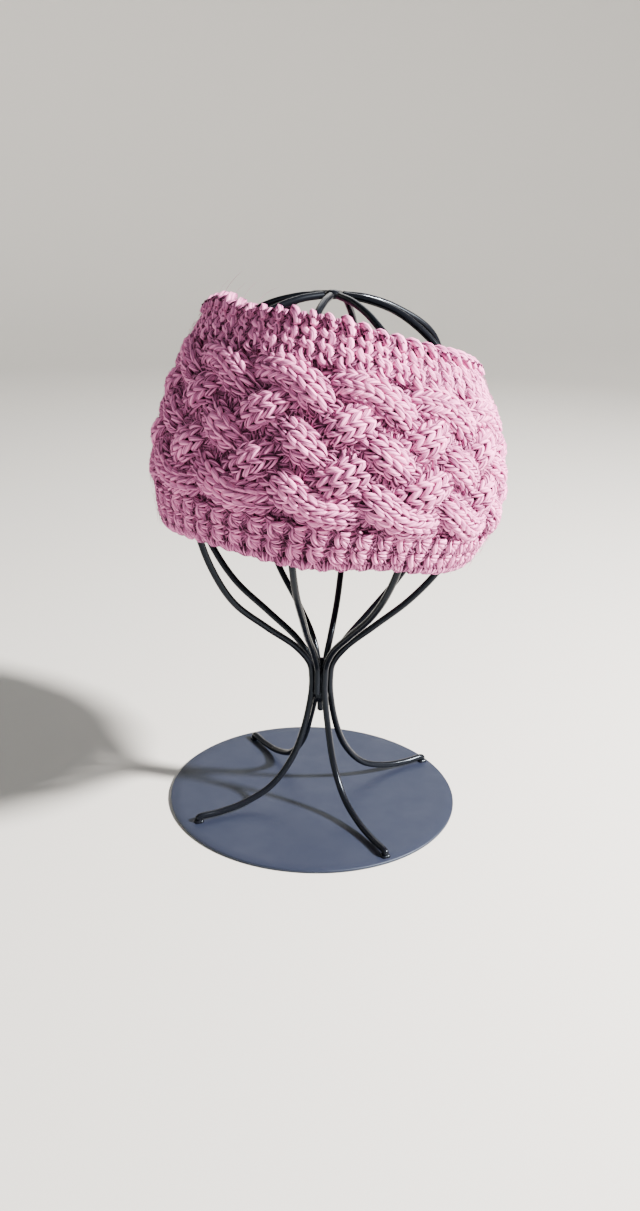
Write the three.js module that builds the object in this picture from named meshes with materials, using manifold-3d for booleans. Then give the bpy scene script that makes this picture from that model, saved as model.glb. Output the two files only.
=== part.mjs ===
// Cable knit headband on a wire hat stand.
// Millimetres, Z up. The origin is the middle of the plate's underside and the front faces -Y.

import * as THREE from "three";
import { mergeVertices } from "three/addons/utils/BufferGeometryUtils.js";
import Module from "manifold-3d";

// Driving dimensions

const plate = { radius: 76.2, thickness: 1.5, edgeRound: 0.4, segments: 72 };

const wire = { radius: 1.7, sides: 6, legSteps: 11, ribSteps: 23 };

// The wire form stands a little to the right of the plate's centre.
const stand = { axisX: 3, topZ: 263 };

// Radius and height of a leg's centre line, from the plate up to where it runs on into the waist
const legProfile = [
  { radius: 70.0, z: 3.7 },
  { radius: 58.0, z: 4.1 },
  { radius: 44.0, z: 5.8 },
  { radius: 28.5, z: 12.0 },
  { radius: 16.4, z: 25.5 },
  { radius: 9.6, z: 42.0 },
];

// Radius and height of a wire's centre line, from the waist up to the top
const ribProfile = [
  { radius: 5.2, z: 62.0 },
  { radius: 5.0, z: 70.0 },
  { radius: 6.0, z: 78.0 },
  { radius: 12.8, z: 88.5 },
  { radius: 27.0, z: 102.0 },
  { radius: 44.0, z: 118.0 },
  { radius: 58.0, z: 136.0 },
  { radius: 67.5, z: 156.0 },
  { radius: 72.0, z: 179.0 },
  { radius: 70.5, z: 202.0 },
  { radius: 63.5, z: 224.0 },
  { radius: 52.5, z: 243.5 },
  { radius: 33.0, z: 256.5 },
  { radius: 17.0, z: 261.6 },
  { radius: 5.4, z: stand.topZ },
];

// The wires were bent by hand, so some bow out a little more at the flare or stand in at the shoulder.
const bow = { flareZ: 114, flareWidth: 24, shoulderZ: 240, shoulderWidth: 15 };

// Bearings are degrees anticlockwise from +X, seen from above. A long wire is a leg and a rib in one.
const longWires = [
  { name: "wire_front_left", leg: -150.6, waist: -157.5, rib: -152.6, flare: 5.5, shoulder: -2.5 },
  { name: "wire_front_right", leg: -61.1, waist: -67.5, rib: -59.3, flare: 0, shoulder: 1.5 },
  { name: "wire_back_right", leg: 32.4, waist: 22.5, rib: 28.2, flare: 0, shoulder: 3.5 },
  { name: "wire_back_left", leg: 122.7, waist: 112.5, rib: 123.9, flare: 0, shoulder: 0 },
];
const shortRibs = [
  { name: "rib_front", waist: -112.5, rib: -102.9, flare: 0, shoulder: 0 },
  { name: "rib_right", waist: -22.5, rib: -15.7, flare: 0, shoulder: -3.5 },
  { name: "rib_back", waist: 67.5, rib: 77.3, flare: 0, shoulder: 0 },
  { name: "rib_left", waist: 157.5, rib: 168.4, flare: 2.5, shoulder: 0 },
];

// The ribs lie side by side at the waist and turn to their own bearings between these heights.
const spread = { fromZ: 75, toZ: 118 };

const foot = { radius: 1.75, bottomZ: 1.8, sides: 8 };
const pin = { radius: 1.7, bottomZ: 50.3, topZ: 80, sides: 12 };
const waistWeld = { innerRadius: 2.0, outerRadius: 2.9, bottomZ: 58, topZ: 70, segments: 16 };
const topWeld = { radius: 3.3, height: 3.6, segments: 16 };

// The band is a barrel-shaped loop. Across its height v runs from -1 at the bottom hem to 1 at the top.
const band = {
  height: 102.6,
  middleZ: 197.2,
  centreX: { bottom: -2.8, middle: 5.5, top: 9.1 },
  radius: { bottom: 76, widest: 86, top: 65 },
  widestV: -0.3,
  bulge: 1.73,
  leanRight: { bottom: 6.6, top: 11.4 },
  leanBack: 8.8,
};
const wall = { panel: 7.5, border: 5.6 };
const hemStartV = 0.5;

// How far the hems rise or dip where a wire pushes or the edge curls, by bearing and width in degrees
const topHem = [
  { bearing: 184, width: 13, rise: -3.4 },
  { bearing: 212, width: 8, rise: 1.2 },
  { bearing: 227, width: 13, rise: -2.0 },
  { bearing: 264, width: 15, rise: 1.4 },
  { bearing: 298, width: 13, rise: -1.2 },
  { bearing: 324, width: 10, rise: -0.8 },
  { bearing: 350, width: 14, rise: -2.4 },
  { bearing: 60, width: 22, rise: -1.2 },
  { bearing: 124, width: 18, rise: 1.5 },
];
const bottomHem = [
  { bearing: 224, width: 16, rise: 0.8 },
  { bearing: 266, width: 15, rise: -1.6 },
  { bearing: 296, width: 14, rise: 1.4 },
  { bearing: 20, width: 20, rise: -1.0 },
  { bearing: 95, width: 18, rise: 1.3 },
  { bearing: 150, width: 18, rise: -1.1 },
];

// The plait: six strands cross by three pairs, then by two, once in each repeat. It starts a little past +X.
const plait = {
  repeats: 13,
  start: 0.375,
  strands: 6,
  edgeV: 0.655,
  strandHalfWidth: 0.7,
  roundness: 3.8,
  rise: 0.8,
  lift: 2.25,
  floor: 4.7,
  cornerEase: 0.13,
  columnsPerRepeat: 8,
  rowsPerStrand: 4,
};

// Upright garter ridges in both borders
const garter = { ridges: 52, crestDepth: 0.9, valleyDepth: 2.7, hemNotch: 0.02, hemEase: 1.2 };

const inside = { columns: 52, panelRows: 4 };

// Vector helpers

const radians = THREE.MathUtils.degToRad;

function mix(a, b, t) {
  return a + (b - a) * t;
}

// The band's surface

function loopRadius(v) {
  const { bottom, widest, top } = band.radius;
  const above = Math.max(0, (v - band.widestV) / (1 - band.widestV));
  const below = Math.max(0, (band.widestV - v) / (1 + band.widestV));
  return widest - (widest - top) * above ** band.bulge - (widest - bottom) * below ** band.bulge;
}

function hemRise(waves, angle) {
  const fullTurn = 2 * Math.PI;
  return waves.reduce((sum, { bearing, width, rise }) => {
    const turn = THREE.MathUtils.euclideanModulo(angle - radians(bearing) + Math.PI, fullTurn) - Math.PI;
    return sum + rise * Math.exp(-((turn / radians(width)) ** 2));
  }, 0);
}

function skinPoint(v, angle) {
  const { bottom, middle, top } = band.centreX;
  const bow = (top + bottom) / 2 - middle;
  const lean = radians(mix(band.leanRight.bottom, band.leanRight.top, (v + 1) / 2));
  const tip = Math.sin(radians(band.leanBack));
  const up = new THREE.Vector3(Math.sin(lean), tip, 0);
  up.z = Math.sqrt(1 - up.lengthSq());
  const right = new THREE.Vector3(1, 0, 0).addScaledVector(up, -up.x).normalize();
  const back = new THREE.Vector3().crossVectors(up, right);
  const radius = loopRadius(v);
  const nearHem = Math.max(0, (Math.abs(v) - hemStartV) / (1 - hemStartV));
  const rise = nearHem * hemRise(v > 0 ? topHem : bottomHem, angle);
  return new THREE.Vector3(
    middle + ((top - bottom) / 2) * v + bow * v * v,
    (band.height / 2) * v * tip,
    band.middleZ + (band.height / 2) * v,
  )
    .addScaledVector(up, rise)
    .addScaledVector(right, radius * Math.cos(angle))
    .addScaledVector(back, radius * Math.sin(angle));
}

// A point that lies depth below the band's outer skin
function bandPoint(v, angle, depth) {
  const step = 0.001;
  const across = skinPoint(v + step, angle).sub(skinPoint(v - step, angle));
  const along = skinPoint(v, angle + step).sub(skinPoint(v, angle - step));
  const outward = new THREE.Vector3().crossVectors(along, across).normalize();
  return skinPoint(v, angle).addScaledVector(outward, -depth);
}

// The plait's relief

// Where a strand lies across the panel, in strand widths from its top, at turn t of its six-turn path
function strandPlace(t) {
  const turn = THREE.MathUtils.euclideanModulo(t + 0.25, plait.strands);
  const down = 0.5 + 2 * turn;
  const up = 5.5 - 2 * (turn - 3);
  return turn < 3 ? Math.min(5.5, down) : Math.max(0.5, up);
}

function easedPlace(t) {
  const ease = plait.cornerEase;
  return (strandPlace(t - ease) + 2 * strandPlace(t) + strandPlace(t + ease)) / 4;
}

// 1 where the strand passes over, -1 where it passes under. It stays over while it turns at the lower edge,
// and comes up early at the upper edge.
function strandLayer(t) {
  const turn = THREE.MathUtils.euclideanModulo(t + 0.25, plait.strands);
  const wave = Math.cos(2 * Math.PI * t);
  const atBottom = turn - 2.25;
  const atTop = THREE.MathUtils.euclideanModulo(turn - 5.25, plait.strands);
  if (atBottom > 0 && atBottom < 1) return Math.cos(Math.PI * atBottom ** 2);
  if (atTop < 1) return Math.cos(Math.PI * (1 - atTop) ** 2);
  return turn < 3 ? wave : -wave;
}

function plaitDepth(repeat, place) {
  let height = -plait.floor;
  for (let strand = 0; strand < plait.strands; strand += 1) {
    const t = repeat + strand;
    const offset = (place - easedPlace(t)) / plait.strandHalfWidth;
    if (Math.abs(offset) < 1) {
      const crown = plait.rise + plait.roundness * (Math.sqrt(1 - offset * offset) - 1);
      height = Math.max(height, crown - plait.lift * (1 - strandLayer(t)));
    }
  }
  return -height;
}

// Rings of points round the band, each with its own number of points

function ringOf(count, pointAt) {
  return Array.from({ length: count }, (_, index) => pointAt((2 * Math.PI * index) / count, index));
}

function panelRing(place) {
  const v = plait.edgeV * (1 - (2 * place) / plait.strands);
  const columns = plait.repeats * plait.columnsPerRepeat;
  return ringOf(columns, (angle, index) =>
    bandPoint(v, angle, plaitDepth(index / plait.columnsPerRepeat - plait.start, place)),
  );
}

function ridgeRing(v, extraDepth) {
  const notch = garter.hemNotch * Math.max(0, (Math.abs(v) - 0.9) / 0.1);
  return ringOf(2 * garter.ridges, (angle, index) => {
    const crest = index % 2 === 0;
    const depth = crest ? garter.crestDepth : garter.valleyDepth;
    return bandPoint(crest ? v : v * (1 - notch), angle, depth + extraDepth);
  });
}

function insideRing(v, depth) {
  return ringOf(inside.columns, (angle) => bandPoint(v, angle, depth));
}

function bandRings() {
  const hem = { low: 0.7, middle: 0.84, high: 0.965, inner: 0.965 };
  const rings = [];
  const outerBorder = [hem.low, hem.middle, hem.high];
  outerBorder.reverse().forEach((v) => rings.push(ridgeRing(-v, 0)));
  for (let row = plait.strands * plait.rowsPerStrand; row >= 0; row -= 1) {
    rings.push(panelRing(row / plait.rowsPerStrand));
  }
  outerBorder.reverse().forEach((v) => rings.push(ridgeRing(v, 0)));
  rings.push(ridgeRing(1, garter.hemEase));
  rings.push(insideRing(hem.inner, wall.border));
  rings.push(insideRing(hem.low, wall.border));
  for (let row = 0; row < inside.panelRows; row += 1) {
    const v = mix(0.6, -0.6, row / (inside.panelRows - 1));
    rings.push(insideRing(v, wall.panel));
  }
  rings.push(insideRing(-hem.low, wall.border));
  rings.push(insideRing(-hem.inner, wall.border));
  rings.push(ridgeRing(-1, garter.hemEase));
  return rings;
}

// Whether a strip between two rings steps along the lower one next. Rings of one length take the
// shorter diagonal, so that the faces follow the strands.
function stepsLower(lower, upper, i, j) {
  if (lower.length !== upper.length || i !== j) {
    return (i + 1) * upper.length <= (j + 1) * lower.length;
  }
  const next = (i + 1) % lower.length;
  return lower[next].distanceTo(upper[i]) <= upper[next].distanceTo(lower[i]);
}

function stripBetween(lower, upper, lowerStart, upperStart) {
  const faces = [];
  let i = 0;
  let j = 0;
  while (i < lower.length || j < upper.length) {
    const a = lowerStart + (i % lower.length);
    const b = upperStart + (j % upper.length);
    if (j === upper.length || (i < lower.length && stepsLower(lower, upper, i, j))) {
      i += 1;
      faces.push(a, lowerStart + (i % lower.length), b);
    } else {
      j += 1;
      faces.push(a, upperStart + (j % upper.length), b);
    }
  }
  return faces;
}

function knitBandGeometry() {
  const rings = bandRings();
  const starts = [];
  const positions = [];
  for (const ring of rings) {
    starts.push(positions.length / 3);
    ring.forEach((point) => positions.push(point.x, point.y, point.z));
  }
  const faces = rings.flatMap((ring, index) => {
    const next = (index + 1) % rings.length;
    return stripBetween(ring, rings[next], starts[index], starts[next]);
  });
  const geometry = new THREE.BufferGeometry();
  geometry.setAttribute("position", new THREE.Float32BufferAttribute(positions, 3));
  geometry.setIndex(faces);
  return geometry;
}

// The stand's wires

const wasm = await Module();
wasm.setup();

function toManifold(source) {
  const bare = source.clone();
  bare.deleteAttribute("normal");
  bare.deleteAttribute("uv");
  const merged = mergeVertices(bare, 0.0001);
  const mesh = new wasm.Mesh({
    numProp: 3,
    vertProperties: new Float32Array(merged.attributes.position.array),
    triVerts: new Uint32Array(merged.index.array),
  });
  return new wasm.Manifold(mesh);
}

function toGeometry(manifold) {
  const mesh = manifold.getMesh();
  const geometry = new THREE.BufferGeometry();
  geometry.setAttribute("position", new THREE.BufferAttribute(mesh.vertProperties, 3));
  geometry.setIndex(new THREE.BufferAttribute(mesh.triVerts, 1));
  return geometry;
}

function standPoint({ radius, z }, bearing) {
  const angle = radians(bearing);
  return new THREE.Vector3(stand.axisX + radius * Math.cos(angle), radius * Math.sin(angle), z);
}

function wireSection() {
  const shape = new THREE.Shape();
  for (let side = 0; side < wire.sides; side += 1) {
    const angle = (2 * Math.PI * side) / wire.sides;
    const x = wire.radius * Math.cos(angle);
    const y = wire.radius * Math.sin(angle);
    if (side === 0) shape.moveTo(x, y);
    else shape.lineTo(x, y);
  }
  shape.closePath();
  return shape;
}

function wireAlong(points, steps) {
  const extrudePath = new THREE.CatmullRomCurve3(points, false, "centripetal");
  return new THREE.ExtrudeGeometry(wireSection(), { steps, extrudePath, bevelEnabled: false });
}

function ribPoints({ waist, rib, flare, shoulder }) {
  return ribProfile.map(({ radius, z }) => {
    const out = flare * Math.exp(-(((z - bow.flareZ) / bow.flareWidth) ** 2));
    const over = shoulder * Math.exp(-(((z - bow.shoulderZ) / bow.shoulderWidth) ** 2));
    const turnedBy = THREE.MathUtils.smoothstep(z, spread.fromZ, spread.toZ);
    return standPoint({ radius: radius + out + over, z }, mix(waist, rib, turnedBy));
  });
}

function longWireGeometry(row) {
  const leg = legProfile.map((place) => standPoint(place, row.leg));
  const rib = ribPoints(row);
  const tube = wireAlong([...leg, ...rib], wire.legSteps + wire.ribSteps);
  const height = legProfile[0].z - foot.bottomZ;
  const tip = new THREE.CylinderGeometry(foot.radius, foot.radius, height, foot.sides);
  tip.rotateX(Math.PI / 2);
  const end = standPoint(legProfile[0], row.leg);
  tip.translate(end.x, end.y, foot.bottomZ + height / 2);
  return toGeometry(toManifold(tube).add(toManifold(tip)));
}

function shortRibGeometry(row) {
  return wireAlong(ribPoints(row), wire.ribSteps);
}

// Plate, pin and welds

function turned(outline, segments) {
  const geometry = new THREE.LatheGeometry(
    outline.map(([radius, z]) => new THREE.Vector2(radius, z)),
    segments,
  );
  geometry.rotateX(Math.PI / 2);
  return geometry;
}

function basePlateGeometry() {
  const { radius, thickness, edgeRound, segments } = plate;
  return turned(
    [
      [0, 0],
      [radius - edgeRound, 0],
      [radius, edgeRound],
      [radius, thickness - edgeRound],
      [radius - edgeRound, thickness],
      [0, thickness],
    ],
    segments,
  );
}

function centrePinGeometry() {
  const { radius, bottomZ, topZ, sides } = pin;
  return turned([[0, bottomZ], [radius, bottomZ], [radius, topZ], [0, topZ]], sides);
}

function waistWeldGeometry() {
  const { innerRadius, outerRadius, bottomZ, topZ, segments } = waistWeld;
  return turned(
    [
      [innerRadius, bottomZ],
      [outerRadius, bottomZ + 1],
      [outerRadius, topZ - 1],
      [innerRadius, topZ],
      [innerRadius, bottomZ],
    ],
    segments,
  );
}

function topWeldGeometry() {
  const { radius, height, segments } = topWeld;
  const half = height / 2;
  return turned([[0, -half], [radius, -half * 0.7], [radius, half * 0.7], [0, half]], segments);
}

// Materials

const blackPaint = new THREE.MeshStandardMaterial({ color: 0x101114, roughness: 0.42, metalness: 0.1 });
const platePaint = new THREE.MeshStandardMaterial({ color: 0x23262e, roughness: 0.55, metalness: 0.1 });
const wool = new THREE.MeshStandardMaterial({ color: 0xc58aa8, roughness: 0.95, metalness: 0 });

// Assembly

const group = new THREE.Group();

function place(name, geometry, material, x = 0, z = 0) {
  const mesh = new THREE.Mesh(geometry, material);
  mesh.name = name;
  mesh.position.set(x, 0, z);
  group.add(mesh);
}

place("base_plate", basePlateGeometry(), platePaint);
longWires.forEach((row) => place(row.name, longWireGeometry(row), blackPaint));
shortRibs.forEach((row) => place(row.name, shortRibGeometry(row), blackPaint));
place("centre_pin", centrePinGeometry(), blackPaint, stand.axisX);
place("waist_weld", waistWeldGeometry(), blackPaint, stand.axisX);
place("top_weld", topWeldGeometry(), blackPaint, stand.axisX, stand.topZ);
place("knit_band", knitBandGeometry(), wool);

export default group;
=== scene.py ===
import math

import bpy
import numpy as np
from mathutils import Matrix, Vector


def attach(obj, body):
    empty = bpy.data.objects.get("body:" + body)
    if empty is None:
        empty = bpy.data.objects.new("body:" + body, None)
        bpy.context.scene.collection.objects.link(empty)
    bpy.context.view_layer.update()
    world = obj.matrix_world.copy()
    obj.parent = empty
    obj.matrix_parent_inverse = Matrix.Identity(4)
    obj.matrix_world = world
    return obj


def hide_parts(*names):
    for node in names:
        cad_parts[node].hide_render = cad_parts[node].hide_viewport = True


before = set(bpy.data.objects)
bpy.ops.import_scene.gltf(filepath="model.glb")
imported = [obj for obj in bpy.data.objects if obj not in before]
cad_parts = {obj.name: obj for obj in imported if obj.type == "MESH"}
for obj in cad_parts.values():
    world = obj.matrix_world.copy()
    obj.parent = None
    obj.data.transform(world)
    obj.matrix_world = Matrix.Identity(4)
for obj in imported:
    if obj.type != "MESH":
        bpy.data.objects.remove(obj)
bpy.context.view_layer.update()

# Cable knit headband on a wire hat stand. Metres, Z up, the front faces -Y.


# The camera stands where the photograph was taken from.

cameraPlace = {
    "imageHeight": 1211,
    "focalPixels": 1150,
    "sensor": 36,
    "position": (0, -0.5473, 0.3189),
    "lookDown": 20.96,
    "turnRight": 0.13,
    "roll": 1.70,
}


def makeCamera():
    lens = bpy.data.cameras.new("camera")
    lens.sensor_width = cameraPlace["sensor"]
    lens.lens = cameraPlace["sensor"] * cameraPlace["focalPixels"] / cameraPlace["imageHeight"]
    lens.clip_start = 0.01
    camera = bpy.data.objects.new("camera", lens)
    bpy.context.scene.collection.objects.link(camera)
    turn = Matrix.Rotation(math.radians(-cameraPlace["turnRight"]), 4, "Z")
    tilt = Matrix.Rotation(math.radians(90 - cameraPlace["lookDown"]), 4, "X")
    roll = Matrix.Rotation(math.radians(cameraPlace["roll"]), 4, "Z")
    camera.matrix_world = Matrix.Translation(cameraPlace["position"]) @ turn @ tilt @ roll
    bpy.context.scene.camera = camera


# Small helpers for node trees

def socketOf(sockets, key):
    if isinstance(key, int):
        return sockets[key]
    return next(socket for socket in sockets if socket.name == key and socket.enabled)


def addNode(tree, kind, inputs=None, **settings):
    made = tree.nodes.new(kind)
    for name, value in settings.items():
        setattr(made, name, value)
    for key, value in (inputs or {}).items():
        socket = socketOf(made.inputs, key)
        if isinstance(value, bpy.types.NodeSocket):
            tree.links.new(value, socket)
        else:
            socket.default_value = value
    return made


def outOf(made, key=0):
    return socketOf(made.outputs, key)


def calc(tree, operation, first, second=0.0, third=0.0):
    kind = "ShaderNodeMath"
    return addNode(tree, kind, {0: first, 1: second, 2: third}, operation=operation).outputs[0]


def vectorCalc(tree, operation, first, second=(0, 0, 0)):
    kind = "ShaderNodeVectorMath"
    return addNode(tree, kind, {0: first, 1: second}, operation=operation).outputs[0]


# A geometry tree with named inputs. It returns the tree, its input node and its output node.
def newTree(name, sizes):
    tree = bpy.data.node_groups.new(name, "GeometryNodeTree")
    tree.interface.new_socket("Geometry", in_out="INPUT", socket_type="NodeSocketGeometry")
    tree.interface.new_socket("Geometry", in_out="OUTPUT", socket_type="NodeSocketGeometry")
    for label, value in sizes.items():
        kind = "NodeSocketInt" if isinstance(value, int) else "NodeSocketFloat"
        socket = tree.interface.new_socket(label, in_out="INPUT", socket_type=kind)
        socket.default_value = value
    given = tree.nodes.new("NodeGroupInput")
    result = tree.nodes.new("NodeGroupOutput")
    return tree, given, result


# Runs a tree on an object and keeps the result as a plain mesh piece.
def grow(name, source, tree, sizes=None):
    modifier = source.modifiers.new(tree.name, "NODES")
    modifier.node_group = tree
    identifiers = {item.name: item.identifier for item in tree.interface.items_tree
                   if item.item_type == "SOCKET" and item.in_out == "INPUT"}
    for label, value in (sizes or {}).items():
        modifier[identifiers[label]] = value
    bpy.context.view_layer.update()
    graph = bpy.context.evaluated_depsgraph_get()
    mesh = bpy.data.meshes.new_from_object(source.evaluated_get(graph), depsgraph=graph)
    source.modifiers.remove(modifier)
    bpy.data.objects.remove(source)
    mesh.name = name
    piece = bpy.data.objects.new(name, mesh)
    bpy.context.scene.collection.objects.link(piece)
    return piece


def finishPiece(piece, slot, *nodes):
    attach(piece, "root")
    if nodes:
        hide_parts(*nodes)
    faces = sum(len(polygon.vertices) - 2 for polygon in piece.data.polygons)
    print(f"{piece.name}: {faces} triangles")


# Materials

def newMaterial(name):
    material = bpy.data.materials.new(name)
    material.use_nodes = True
    tree = material.node_tree
    shader = tree.nodes["Principled BSDF"]
    return material, tree, shader


def readAttribute(tree, name, output="Fac"):
    return outOf(addNode(tree, "ShaderNodeAttribute", attribute_name=name), output)


# The wool's colour runs from plum over rose to pale: painted shade moves it towards plum in the crevices,
# and a painted highlight moves it towards pale on the crests. The values with Light, Shade or Highlight in
# their names say how far each cause moves it along that way. coreShade is painted shade that darkens the
# shell under the yarn.
wool = {
    "plum": (0.040, 0.007, 0.023, 1),
    "rose": (0.41, 0.110, 0.265, 1),
    "roseAt": 0.42,
    "pale": (0.92, 0.295, 0.59, 1),
    "paleAt": 0.95,
    "roughness": 0.85,
    "specular": 0.12,
    "sheen": 0.08,
    "sheenRoughness": 0.4,
    "sheenTint": (0.95, 0.65, 0.78, 1),
    "baseLight": 0.20,
    # The ply crests get a painted highlight and the grooves between plies get painted shade.
    "crestPower": 0.8,
    "crestHighlight": 0.52,
    "grooveShade": -0.18,
    "stitchLight": 0.16,
    "patches": 45.0,
    "patchLight": 0.3,
    # Painted shade on stitches that pass under others or lie in crevices, and at the tucked ends
    "paintedShadeLight": -0.44,
    "tuckedZ": (-0.0026, 0.0008),
    "tuckedShadeLight": (-0.52, 0.10),
    "streaks": 2.3,
    "streakLength": 0.35,
    "streakShift": 37.0,
    "streakRange": (0.33, 0.67),
    "streakLight": (-0.36, 0.42),
    "fibreBump": 0.00035,
    "bumpStrength": 0.7,
    "coreShade": 0.42,
}


# Moves a value from one range to another
def mapRange(tree, value, given, wanted):
    ends = {"From Min": given[0], "From Max": given[1], "To Min": wanted[0], "To Max": wanted[1]}
    return outOf(addNode(tree, "ShaderNodeMapRange", {"Value": value, **ends}))


# plyCrest is 1 on the crests of the plies and carries the painted highlight there and the painted shade in
# the grooves. plyPlace and plyAlong say where on the yarn a point lies, and the painted-shade attribute is
# 1 on stitches that pass under others and raised in crevices, valleys and low hems. yarnPlace falls away in
# Z towards the tucked ends, which get painted shade.
def makeWool(name, shade):
    material, tree, shader = newMaterial(name)
    crest = readAttribute(tree, "plyCrest")
    tint = readAttribute(tree, "stitchTint")
    paintedShade = readAttribute(tree, "paintedShade")
    yarnPlace = readAttribute(tree, "yarnPlace", "Vector")
    plyPlace = readAttribute(tree, "plyPlace", "Vector")
    along = calc(tree, "MULTIPLY", readAttribute(tree, "plyAlong"), wool["streakLength"])
    along = calc(tree, "MULTIPLY_ADD", tint, wool["streakShift"], along)
    lengthwise = addNode(tree, "ShaderNodeCombineXYZ", {2: along}).outputs[0]
    fibrePlace = vectorCalc(tree, "ADD", plyPlace, lengthwise)
    fibres = addNode(tree, "ShaderNodeTexNoise", {"Vector": fibrePlace, "Scale": wool["streaks"],
                                                  "Detail": 1.0, "Roughness": 0.6})
    streak = mapRange(tree, outOf(fibres), wool["streakRange"], wool["streakLight"])
    place = outOf(addNode(tree, "ShaderNodeTexCoord"), "Object")
    patch = addNode(tree, "ShaderNodeTexNoise", {"Vector": place, "Scale": wool["patches"], "Detail": 2.0})
    apart = addNode(tree, "ShaderNodeSeparateXYZ", {0: yarnPlace})
    # Painted shade towards the tucked ends, where the yarn dips under its neighbours
    tucked = mapRange(tree, outOf(apart, "Z"), wool["tuckedZ"], wool["tuckedShadeLight"])
    # Painted highlight on the ply crests and painted shade in the grooves
    light = calc(tree, "POWER", crest, wool["crestPower"])
    light = calc(tree, "MULTIPLY_ADD", light, wool["crestHighlight"], wool["grooveShade"])
    light = calc(tree, "MULTIPLY_ADD", tint, wool["stitchLight"], light)
    light = calc(tree, "MULTIPLY_ADD", outOf(patch), wool["patchLight"], light)
    # Painted shade on stitches under others, in crevices and valleys and on low hems
    light = calc(tree, "MULTIPLY_ADD", paintedShade, wool["paintedShadeLight"], light)
    light = calc(tree, "ADD", light, streak)
    light = calc(tree, "ADD", light, tucked)
    light = calc(tree, "ADD", light, wool["baseLight"] - shade)
    ramp = addNode(tree, "ShaderNodeValToRGB", {"Fac": light})
    stops = ramp.color_ramp.elements
    stops[0].position = 0.0
    stops[0].color = wool["plum"]
    stops[1].position = wool["paleAt"]
    stops[1].color = wool["pale"]
    middle = stops.new(wool["roseAt"])
    middle.color = wool["rose"]
    bump = addNode(tree, "ShaderNodeBump", {"Height": outOf(fibres), "Distance": wool["fibreBump"],
                                            "Strength": wool["bumpStrength"]})
    tree.links.new(outOf(ramp), shader.inputs["Base Color"])
    tree.links.new(outOf(bump), shader.inputs["Normal"])
    shader.inputs["Roughness"].default_value = wool["roughness"]
    shader.inputs["Sheen Weight"].default_value = wool["sheen"]
    shader.inputs["Sheen Roughness"].default_value = wool["sheenRoughness"]
    shader.inputs["Sheen Tint"].default_value = wool["sheenTint"]
    shader.inputs["Specular IOR Level"].default_value = wool["specular"]
    return material


paint = {
    "wire": {"colour": (0.0030, 0.0034, 0.0050, 1), "roughness": 0.21, "specular": 0.15,
             "grainDepth": 0.00004},
    "plate": {"colour": (0.0085, 0.0108, 0.0225, 1), "roughness": 0.48, "specular": 0.44,
              "grainDepth": 0.00012},
    "sheen": (0.68, 0.82, 1.0, 1),
    "grain": 2600,
    "grainTone": 1.5,
    "bumpStrength": 0.7,
    "wear": 60.0,
    "wearRange": (0.3, 0.7),
    "smoother": 0.07,
    "rougher": 0.08,
}


def makePaint(name, look):
    material, tree, shader = newMaterial(name)
    place = outOf(addNode(tree, "ShaderNodeTexCoord"), "Object")
    grain = addNode(tree, "ShaderNodeTexNoise", {"Vector": place, "Scale": paint["grain"], "Detail": 2.0})
    worn = addNode(tree, "ShaderNodeTexNoise", {"Vector": place, "Scale": paint["wear"], "Detail": 4.0})
    varied = mapRange(tree, outOf(worn), paint["wearRange"],
                      (look["roughness"] - paint["smoother"], look["roughness"] + paint["rougher"]))
    paler = tuple(paint["grainTone"] * part for part in look["colour"][:3]) + (1,)
    tone = addNode(tree, "ShaderNodeMix", {0: outOf(grain), 6: look["colour"], 7: paler}, data_type="RGBA")
    bump = addNode(tree, "ShaderNodeBump", {"Height": outOf(grain), "Distance": look["grainDepth"],
                                            "Strength": paint["bumpStrength"]})
    tree.links.new(tone.outputs[2], shader.inputs["Base Color"])
    tree.links.new(varied, shader.inputs["Roughness"])
    tree.links.new(outOf(bump), shader.inputs["Normal"])
    shader.inputs["Specular IOR Level"].default_value = look["specular"]
    shader.inputs["Specular Tint"].default_value = paint["sheen"]
    return material


woolMaterial = makeWool("pinkWool", 0.0)
# The shell under the stitches is the same wool, darkened by painted shade.
coreShadedWool = makeWool("shadedWool", wool["coreShade"])
wirePaint = makePaint("satinBlackPaint", paint["wire"])
platePaint = makePaint("powderCoat", paint["plate"])


# The band: the same barrel-shaped loop as the solid. v runs from -1 at the bottom hem to 1 at the top.

band = {
    "height": 0.1026,
    "middleZ": 0.1972,
    "centreX": (-0.0028, 0.0055, 0.0091),
    "radiusBottom": 0.076,
    "radiusWidest": 0.086,
    "radiusTop": 0.065,
    "widestV": -0.3,
    "bulge": 1.73,
    "leanRight": (6.6, 11.4),
    "leanBack": 8.8,
    "hemStartV": 0.5,
}

# Where the hems rise or dip: bearing and width in degrees, rise in metres
topHem = [(184, 13, -0.0034), (212, 8, 0.0012), (227, 13, -0.0020), (264, 15, 0.0014),
          (298, 13, -0.0012), (324, 10, -0.0008), (350, 14, -0.0024), (60, 22, -0.0012),
          (124, 18, 0.0015)]
bottomHem = [(224, 16, 0.0008), (266, 15, -0.0016), (296, 14, 0.0014), (20, 20, -0.0010),
             (95, 18, 0.0013), (150, 18, -0.0011)]


def loopRadius(v):
    above = np.clip((v - band["widestV"]) / (1 - band["widestV"]), 0, None) ** band["bulge"]
    below = np.clip((band["widestV"] - v) / (1 + band["widestV"]), 0, None) ** band["bulge"]
    widest = band["radiusWidest"]
    return widest - (widest - band["radiusTop"]) * above - (widest - band["radiusBottom"]) * below


def hemRise(waves, angle):
    rise = np.zeros_like(angle)
    for bearing, width, height in waves:
        turn = np.mod(angle - math.radians(bearing) + math.pi, 2 * math.pi) - math.pi
        rise += height * np.exp(-((turn / math.radians(width)) ** 2))
    return rise


def unit(vectors):
    return vectors / np.linalg.norm(vectors, axis=-1, keepdims=True)


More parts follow.
